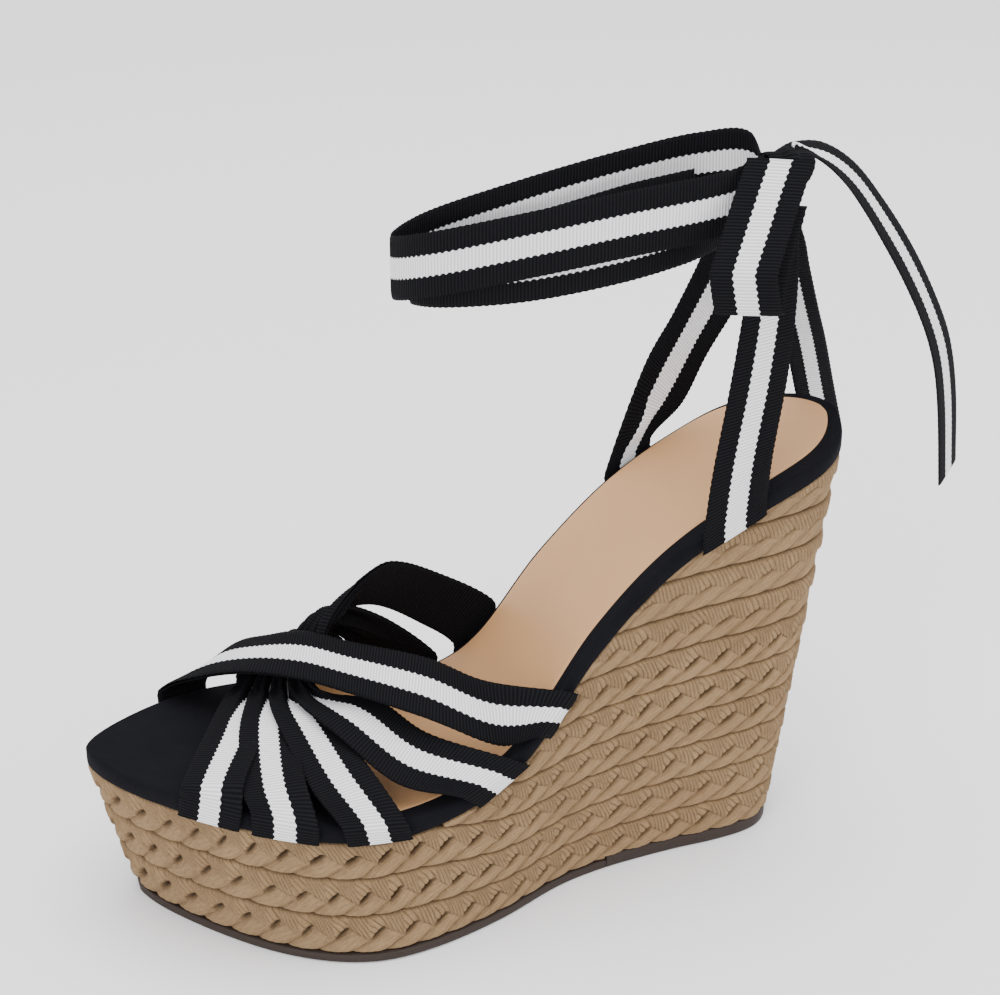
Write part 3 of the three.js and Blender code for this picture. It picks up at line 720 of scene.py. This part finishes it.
def linedRibbon(name, sections, node, held="stretched"):
    ribbonPiece(name, sections, grosgrain, "root", "ribbon", node, held=held)
    ribbonPiece(f"{name}_lining", sections, liningCloth, "root", "lining", f"{node}_lining",
                lift=-ribbon["liningDrop"], thick=ribbon["liningThickness"], held=held,
                trim=ribbon["liningTrim"], relief=0.3)


crossStrap = [
    onRim(0.562, 0.603, -1, underEdge, 1.4),
    onRim(0.546, 0.59, -1, -0.8, 1.6),
    across(over(0.498, -28, 13.6), (-0.2, 5.5, 13)),
    across(over(0.421, -18, 24.6), (0.3, 0.78, 0.5)),
    across(over(0.336, -2, 26.4), (0.3, 0.87, 0.3)),
    across(over(0.289, 8, 24.4), (0.33, 0.9, 0.28)),
    across(over(0.238, 17.5, 19.4), (0.55, 0.83, 0.1)),
    across(over(0.188, 26, 12), (0.75, 0.66, 0.1)),
    onRim(0.115, 0.182, 1, -2, 1.2),
    onRim(0.113, 0.18, 1, underEdge),
]
linedRibbon("cross_ribbon", crossStrap, "cross_strap")

# Fan ribbons, each place a share of the length, y, height over the footbed, direction across and width.
# They lap like shingles, each over its toe-side neighbour, and narrow only under the cross strap.
gather = (0.7, -0.7, 0.12)
fans = [
    {
        "lateral": 0.134, "slant": -0.004, "medial": 0.264,
        "rise": [(0.138, -26, 5.5, 0.9, -0.4, 0.1, 17), (0.18, -8, 8, 0.85, -0.5, 0.02, 16),
                 (0.212, 9, 9.2, 0.85, -0.5, 0, 12.5)],
        "pinch": [(0.222, 14, 10, 9), (0.237, 18.5, 12.5, 6.5), (0.254, 22.5, 18, 4.4)],
        "fall": [(0.261, 31, 12, 1, -0.2, 0, 10)],
    },
    {
        "lateral": 0.216, "slant": 0.0, "medial": 0.358,
        "rise": [(0.211, -30, 6.5, 1, 0, 0, 17), (0.224, -10, 9.7, 0.95, -0.2, -0.06, 16),
                 (0.241, 6, 11.2, 0.9, -0.35, -0.05, 12.5)],
        "pinch": [(0.243, 10, 12, 9), (0.254, 14.8, 14.4, 6.5), (0.271, 19, 20, 4.4)],
        "fall": [(0.311, 29, 19.5, 0.8, -0.3, 0.4, 11)],
    },
    {
        "lateral": 0.323, "slant": 0.008, "medial": 0.452,
        "rise": [(0.295, -30, 8.5, 0.95, 0.2, 0.1, 17), (0.277, -11, 12.2, 0.95, 0, -0.08, 16),
                 (0.266, 2, 13.4, 0.9, -0.2, -0.1, 12.5)],
        "pinch": [(0.264, 6.5, 14.2, 9), (0.271, 11.5, 16.5, 6.5), (0.287, 15.5, 22, 4.4)],
        "fall": [(0.33, 24, 28, 0.6, -0.3, 0.6, 8), (0.388, 27.5, 19.5, 0.6, -0.2, 0.7, 12.5)],
    },
    {
        "lateral": 0.478, "slant": 0.022, "medial": 0.545,
        "rise": [(0.391, -29, 11, 0.68, 0.6, 0.4, 17), (0.337, -14.5, 17.4, 0.8, 0.4, 0.2, 16),
                 (0.298, -2, 16.6, 0.85, -0.1, 0, 12.5)],
        "pinch": [(0.289, 3, 16.8, 9), (0.288, 8.2, 18.2, 6.5), (0.305, 12.2, 24, 4.4)],
        "fall": [
            (0.33, 16.5, 31.5, 0.5, -0.5, 0.7, 8),
            (0.372, 18.5, 37, 0.3, -0.4, 0.85, 14),
            (0.415, 20.5, 36, 0.2, -0.3, 0.9, 17.5),
            (0.482, 24.5, 22, 0.35, -0.15, 0.85, 17.5),
        ],
    },
]
for number, fan in enumerate(fans, 1):
    sections = [onRim(*rimSpan(fan["lateral"] + fan["slant"], -1), -1, underEdge),
                onRim(*rimSpan(fan["lateral"], -1), -1, -1.4, 1)]
    sections += [across(over(*p[:3]), p[3:6], p[6]) for p in fan["rise"]]
    sections += [across(over(*p[:3]), gather, p[3]) for p in fan["pinch"]]
    sections += [across(over(*p[:3]), p[3:6], p[6]) for p in fan["fall"]]
    sections += [onRim(*rimSpan(fan["medial"], 1), 1, -1.6, 1),
                 onRim(*rimSpan(fan["medial"], 1), 1, underEdge)]
    linedRibbon(f"fan_{number}", sections, f"fan_ribbon_{number}", held="gathered")

# Ankle ribbons: each rises from its own side of the heel, crosses behind and goes once round the ankle.
down = (0, 0, -1)
up = (0, 0, 1)
lateralAnkle = [
    onRim(0.777, 0.862, -1, underEdge),
    onRim(0.777, 0.862, -1, -1, 0.9),
    across(ankle(-37, -25.5, 0), (1, 0, 0.25)),
    across(ankle(-32, -21, 20), (1, 0.12, 0.1)),
    across(ankle(-27, -14, 38), (1, 0.25, 0)),
    across(ankle(-23.5, -7, 54), (1, 0.4, -0.2)),
    across(ankle(-21, 0.5, 65), (0.7, 0.3, -0.6)),
    across(ankle(-24, 9, 70.5), (0.2, 0.1, -1)),
    across(ankle(-35.5, 19.5, 67.5), down),
    across(ankle(-54.5, 26.5, 62), down),
    across(ankle(-80, 28, 56.5), down),
    across(ankle(-109, 22, 52.5), down),
    across(ankle(-123.5, 4, 54.5), down),
    across(ankle(-118.5, -15, 62), down),
    across(ankle(-96, -26, 69), down),
    across(ankle(-73.5, -28.5, 72.5), down),
    across(ankle(-45, -24.5, 73.5), down),
    across(ankle(-33, -18.5, 74.5), down),
]
ribbonPiece("lateral_ankle", lateralAnkle, grosgrain, "root", "ribbon", "lateral_ankle_ribbon", held="hung")
medialAnkle = [
    onRim(0.735, 0.8, 1, underEdge)[::-1],
    onRim(0.735, 0.8, 1, -1, 0.9)[::-1],
    across(ankle(-40, 27.5, -1), (-0.6, 0, 0.62)),
    across(ankle(-34.5, 23, 15.5), (-0.6, 0, 0.78)),
    across(ankle(-30, 18, 30), (-0.62, 0.1, 0.77)),
    across(ankle(-27, 11.5, 44), (-0.6, 0.3, 0.77)),
    across(ankle(-26, 2.5, 56), (-0.4, 0.3, 0.9)),
    across(ankle(-31, -2.5, 62.5), (-0.1, 0.1, 1)),
    across(ankle(-40, -10.5, 64.5), up),
    across(ankle(-54, -19.5, 65), up),
    across(ankle(-73.5, -24.5, 64), up),
    across(ankle(-96, -22, 61), up),
    across(ankle(-114.5, -12, 57.5), up),
    across(ankle(-119, 3, 53), up),
    across(ankle(-107, 18, 48), up),
    across(ankle(-79, 24.5, 48), up),
    across(ankle(-54, 22, 54), up),
    across(ankle(-39, 13, 60), up),
]
ribbonPiece("medial_ankle", medialAnkle, grosgrain, "root", "ribbon", "medial_ankle_ribbon", held="hung")

# Bow: one loop and two tails, hanging from the knot.
toward = (0.97, -0.15, -0.08)
bowLoop = [
    across(ankle(-30.6, -24.8, 83.8), (0.97, -0.12, -0.12)),
    across(ankle(-34.8, -29, 77.7), (0.97, -0.12, -0.12)),
    across(ankle(-39.8, -34, 69.5), toward),
    across(ankle(-44.2, -38.5, 62.5), toward),
    across(ankle(-45.2, -39.6, 60.4), toward),
    across(ankle(-45, -39.9, 58), toward),
    across(ankle(-43.8, -40, 51), toward),
    across(ankle(-43, -39, 49), toward),
    across(ankle(-41.6, -36, 48.5), toward),
    across(ankle(-40.3, -33.5, 53.3), toward),
    across(ankle(-36.5, -30.5, 65.2), toward),
    across(ankle(-33.4, -27.5, 73), toward),
]
ribbonPiece("loop_ribbon", bowLoop, grosgrain, "loop", "ribbon", "bow_loop", held="hung")
longTail = [
    across(ankle(-20.5, -8.5, 79.4), (-0.4, 0.9, -0.2), 11),
    across(ankle(-15.2, -6, 78.1), (-0.22, 0.97, 0.06), 14),
    across(ankle(-7.5, -5, 74.3), (0.06, 0.96, 0.26)),
    across(ankle(0.3, -4, 67.3), (0.29, 0.91, 0.3)),
    across(ankle(8.4, -4, 56.3), (0.42, 0.87, 0.26)),
    across(ankle(17, -4.5, 42.5), (0.49, 0.84, 0.25)),
    across(ankle(24.3, -5, 28.2), (0.54, 0.81, 0.21)),
    across(ankle(29.1, -5.5, 15.2), (0.62, 0.77, 0.14)),
    across(ankle(31.9, -6, -0.2), (0.66, 0.74, 0.06)),
    across(ankle(33.9, -6.5, -22.5), (0.66, 0.75, 0.04)),
]
ribbonPiece("long_tail_ribbon", longTail, grosgrain, "tail_long", "ribbon", "long_tail", held="hung")
tailAcross = (0.88, 0.42, -0.2)
shortTail = [
    across(ankle(-15.5, 6, 56), tailAcross, 10),
    across(ankle(-14.3, 6, 48.5), tailAcross, 15.5),
    across(ankle(-12.1, 8, 39.3), tailAcross),
    across(ankle(-6.6, 12.5, 24.3), tailAcross),
    across(ankle(-1.2, 18, 11.6), tailAcross),
    across(ankle(6.3, 26, -8.1), tailAcross),
    across(ankle(11.6, 31, -22.4), tailAcross),
]
ribbonPiece("short_tail_ribbon", shortTail, grosgrain, "tail_short", "ribbon", "short_tail", held="hung")

# The knot: a band of ribbon wound about itself, gathered narrower than the ribbon.
knot = {
    "centre": ankle(-25.5, -16.5, 78.4), "tall": 3.9, "deep": 3.4, "width": 13.0,
    "start": 0.4, "turns": 1.12, "growth": 0.1,
}
knotBand = []
for turned in np.linspace(0, 2 * math.pi * knot["turns"], 15):
    angle = knot["start"] + turned
    grow = 1 + knot["growth"] * turned / (2 * math.pi * knot["turns"])
    place = knot["centre"] + np.array([0.6 * math.sin(angle * 2), -knot["deep"] * grow * math.cos(angle),
                                       knot["tall"] * grow * math.sin(angle)])
    knotBand.append(across(place, (1, 0.1, -0.12), knot["width"]))
ribbonPiece("knot_band", knotBand, liningCloth, "root", "ribbon", "bow_knot", held="folded", outward=-1.0)
print("ribbons made")

# Camera, light and floor
view = {"place": (-0.155854, -0.549418, 0.4188), "pitch": 0.491, "yaw": -0.286, "lens": 86.62}
cameraData = bpy.data.cameras.new("camera")
cameraData.lens = view["lens"]
cameraData.sensor_width = 36.0
cameraData.clip_start = 0.01
camera = bpy.data.objects.new("camera", cameraData)
camera.location = view["place"]
camera.rotation_euler = (math.pi / 2 - view["pitch"], 0, view["yaw"])
bpy.context.scene.collection.objects.link(camera)
bpy.context.scene.camera = camera


def softLight(name, place, aim, size, power):
    data = bpy.data.lights.new(name, "AREA")
    data.shape = "DISK"
    data.size = size
    data.energy = power
    lamp = bpy.data.objects.new(name, data)
    lamp.location = place
    direction = np.array(aim, float) - np.array(place, float)
    flat = math.hypot(direction[0], direction[1])
    turn = math.atan2(direction[1], direction[0]) - math.pi / 2
    lamp.rotation_euler = (math.atan2(flat, -direction[2]), 0, turn)
    bpy.context.scene.collection.objects.link(lamp)


softLight("top_softbox", (0.1, 0.05, 1.3), (0, 0, 0.05), 1.3, 15.0)
softLight("front_left", (-0.9, -1.0, 0.8), (0, 0, 0.08), 1.0, 11.0)
softLight("right_fill", (1.1, -0.5, 0.6), (0, 0, 0.08), 0.9, 5.0)
world = bpy.data.worlds.new("studio")
world.use_nodes = True
background = world.node_tree.nodes["Background"]
background.inputs["Color"].default_value = (0.93, 0.93, 0.95, 1)
background.inputs["Strength"].default_value = 1.42
bpy.context.scene.world = world

floorMesh = bpy.data.meshes.new("floor")
reach = 6.0
corners = [(-reach, -reach, 0), (reach, -reach, 0), (reach, reach, 0), (-reach, reach, 0)]
floorMesh.from_pydata(corners, [], [(0, 1, 2, 3)])
floor = bpy.data.objects.new("floor", floorMesh)
floor.location.z = -0.0002
bpy.context.scene.collection.objects.link(floor)
paper = {"Base Color": (0.95, 0.94, 0.945, 1), "Roughness": 0.6, "Specular IOR Level": 0.2}
floorMesh.materials.append(newMaterial("paper", paper)[0])
